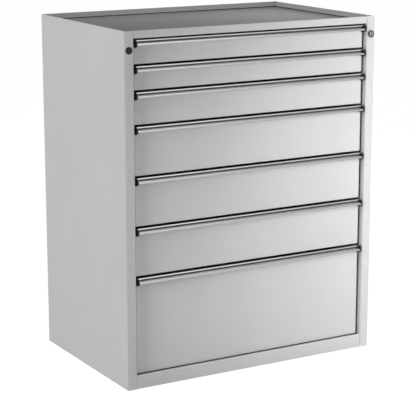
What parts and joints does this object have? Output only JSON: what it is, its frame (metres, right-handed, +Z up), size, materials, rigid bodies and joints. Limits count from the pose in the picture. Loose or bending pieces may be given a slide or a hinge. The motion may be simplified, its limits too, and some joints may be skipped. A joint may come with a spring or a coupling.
{
  "type": "industrial drawer cabinet",
  "caption": "Free-standing sheet-steel cabinet with drawers of graded heights on telescopic runners, full-width handle strips, a recessed matted top and a key lock on the right post.",
  "frame": {"origin": "centre of the housing's footprint, on the floor", "axes": "+Z up, -Y out of the drawer fronts, +X towards the lock post on the viewer's right"},
  "size_m": [0.87, 0.5705, 1.065],
  "materials": {
    "housing_paint": "light grey powder coat, satin",
    "front_paint": "light grey powder coat, satin",
    "mat_rubber": "matt grey rubber mat",
    "handle_aluminium": "natural anodised extrusion, brushed along its length",
    "black_plastic": "moulded, fine texture",
    "zinc_steel": "bright zinc plate",
    "lock_chrome": "polished nickel-chrome"
  },
  "bodies": {
    "root": {"side_panel_left": "housing_paint", "side_panel_right": "housing_paint", "back_panel": "housing_paint", "runner_frame": "housing_paint", "bottom_rail": "housing_paint", "top_tray": "housing_paint", "top_mat": "mat_rubber", "lock_barrel": "lock_chrome", "blind_plug": "black_plastic"},
    "lock_core": {"lock_core": "lock_chrome"},
    "lock_bar": {"lock_bar": "zinc_steel"},
    "drawer_1": {"drawer_1_box": "housing_paint", "drawer_1_front": "front_paint", "drawer_1_handle": "handle_aluminium", "drawer_1_cap_left": "black_plastic", "drawer_1_cap_right": "black_plastic"},
    "drawer_2": {"drawer_2_box": "housing_paint", "drawer_2_front": "front_paint", "drawer_2_handle": "handle_aluminium", "drawer_2_cap_left": "black_plastic", "drawer_2_cap_right": "black_plastic"},
    "drawer_3": {"drawer_3_box": "housing_paint", "drawer_3_front": "front_paint", "drawer_3_handle": "handle_aluminium", "drawer_3_cap_left": "black_plastic", "drawer_3_cap_right": "black_plastic"},
    "drawer_4": {"drawer_4_box": "housing_paint", "drawer_4_front": "front_paint", "drawer_4_handle": "handle_aluminium", "drawer_4_cap_left": "black_plastic", "drawer_4_cap_right": "black_plastic"},
    "drawer_5": {"drawer_5_box": "housing_paint", "drawer_5_front": "front_paint", "drawer_5_handle": "handle_aluminium", "drawer_5_cap_left": "black_plastic", "drawer_5_cap_right": "black_plastic"},
    "drawer_6": {"drawer_6_box": "housing_paint", "drawer_6_front": "front_paint", "drawer_6_handle": "handle_aluminium", "drawer_6_cap_left": "black_plastic", "drawer_6_cap_right": "black_plastic"},
    "drawer_7": {"drawer_7_box": "housing_paint", "drawer_7_front": "front_paint", "drawer_7_handle": "handle_aluminium", "drawer_7_cap_left": "black_plastic", "drawer_7_cap_right": "black_plastic"},
    "rails_1": {"drawer_1_rail_left": "zinc_steel", "drawer_1_rail_right": "zinc_steel"},
    "rails_2": {"drawer_2_rail_left": "zinc_steel", "drawer_2_rail_right": "zinc_steel"},
    "rails_3": {"drawer_3_rail_left": "zinc_steel", "drawer_3_rail_right": "zinc_steel"},
    "rails_4": {"drawer_4_rail_left": "zinc_steel", "drawer_4_rail_right": "zinc_steel"},
    "rails_5": {"drawer_5_rail_left": "zinc_steel", "drawer_5_rail_right": "zinc_steel"},
    "rails_6": {"drawer_6_rail_left": "zinc_steel", "drawer_6_rail_right": "zinc_steel"},
    "rails_7": {"drawer_7_rail_left": "zinc_steel", "drawer_7_rail_right": "zinc_steel"}
  },
  "joints": [
    {"name": "drawer_1_slide", "type": "slide", "parent": "root", "child": "drawer_1", "axis": [0, -1, 0], "range_m": [0, 0.48]},
    {"name": "drawer_2_slide", "type": "slide", "parent": "root", "child": "drawer_2", "axis": [0, -1, 0], "range_m": [0, 0.48]},
    {"name": "drawer_3_slide", "type": "slide", "parent": "root", "child": "drawer_3", "axis": [0, -1, 0], "range_m": [0, 0.48]},
    {"name": "drawer_4_slide", "type": "slide", "parent": "root", "child": "drawer_4", "axis": [0, -1, 0], "range_m": [0, 0.48]},
    {"name": "drawer_5_slide", "type": "slide", "parent": "root", "child": "drawer_5", "axis": [0, -1, 0], "range_m": [0, 0.48]},
    {"name": "drawer_6_slide", "type": "slide", "parent": "root", "child": "drawer_6", "axis": [0, -1, 0], "range_m": [0, 0.48]},
    {"name": "drawer_7_slide", "type": "slide", "parent": "root", "child": "drawer_7", "axis": [0, -1, 0], "range_m": [0, 0.48]},
    {"name": "rails_1_slide", "type": "slide", "parent": "root", "child": "rails_1", "axis": [0, -1, 0], "range_m": [0, 0.24]},
    {"name": "rails_2_slide", "type": "slide", "parent": "root", "child": "rails_2", "axis": [0, -1, 0], "range_m": [0, 0.24]},
    {"name": "rails_3_slide", "type": "slide", "parent": "root", "child": "rails_3", "axis": [0, -1, 0], "range_m": [0, 0.24]},
    {"name": "rails_4_slide", "type": "slide", "parent": "root", "child": "rails_4", "axis": [0, -1, 0], "range_m": [0, 0.24]},
    {"name": "rails_5_slide", "type": "slide", "parent": "root", "child": "rails_5", "axis": [0, -1, 0], "range_m": [0, 0.24]},
    {"name": "rails_6_slide", "type": "slide", "parent": "root", "child": "rails_6", "axis": [0, -1, 0], "range_m": [0, 0.24]},
    {"name": "rails_7_slide", "type": "slide", "parent": "root", "child": "rails_7", "axis": [0, -1, 0], "range_m": [0, 0.24]},
    {"name": "lock_bar_slide", "type": "slide", "parent": "root", "child": "lock_bar", "axis": [0, 0, -1], "range_m": [0, 0.0113]},
    {"name": "lock_core_turn", "type": "hinge", "parent": "root", "child": "lock_core", "pos_m": [0.42, -0.27, 1.01], "axis": [0, -1, 0], "range_deg": [0, 90]}
  ],
  "couplings": [
    {"joint": "rails_1_slide", "follows": "drawer_1_slide", "ratio": 0.5},
    {"joint": "rails_2_slide", "follows": "drawer_2_slide", "ratio": 0.5},
    {"joint": "rails_3_slide", "follows": "drawer_3_slide", "ratio": 0.5},
    {"joint": "rails_4_slide", "follows": "drawer_4_slide", "ratio": 0.5},
    {"joint": "rails_5_slide", "follows": "drawer_5_slide", "ratio": 0.5},
    {"joint": "rails_6_slide", "follows": "drawer_6_slide", "ratio": 0.5},
    {"joint": "rails_7_slide", "follows": "drawer_7_slide", "ratio": 0.5},
    {"joint": "lock_core_turn", "follows": "lock_bar_slide", "rad_per_m": 138.84}
  ]
}
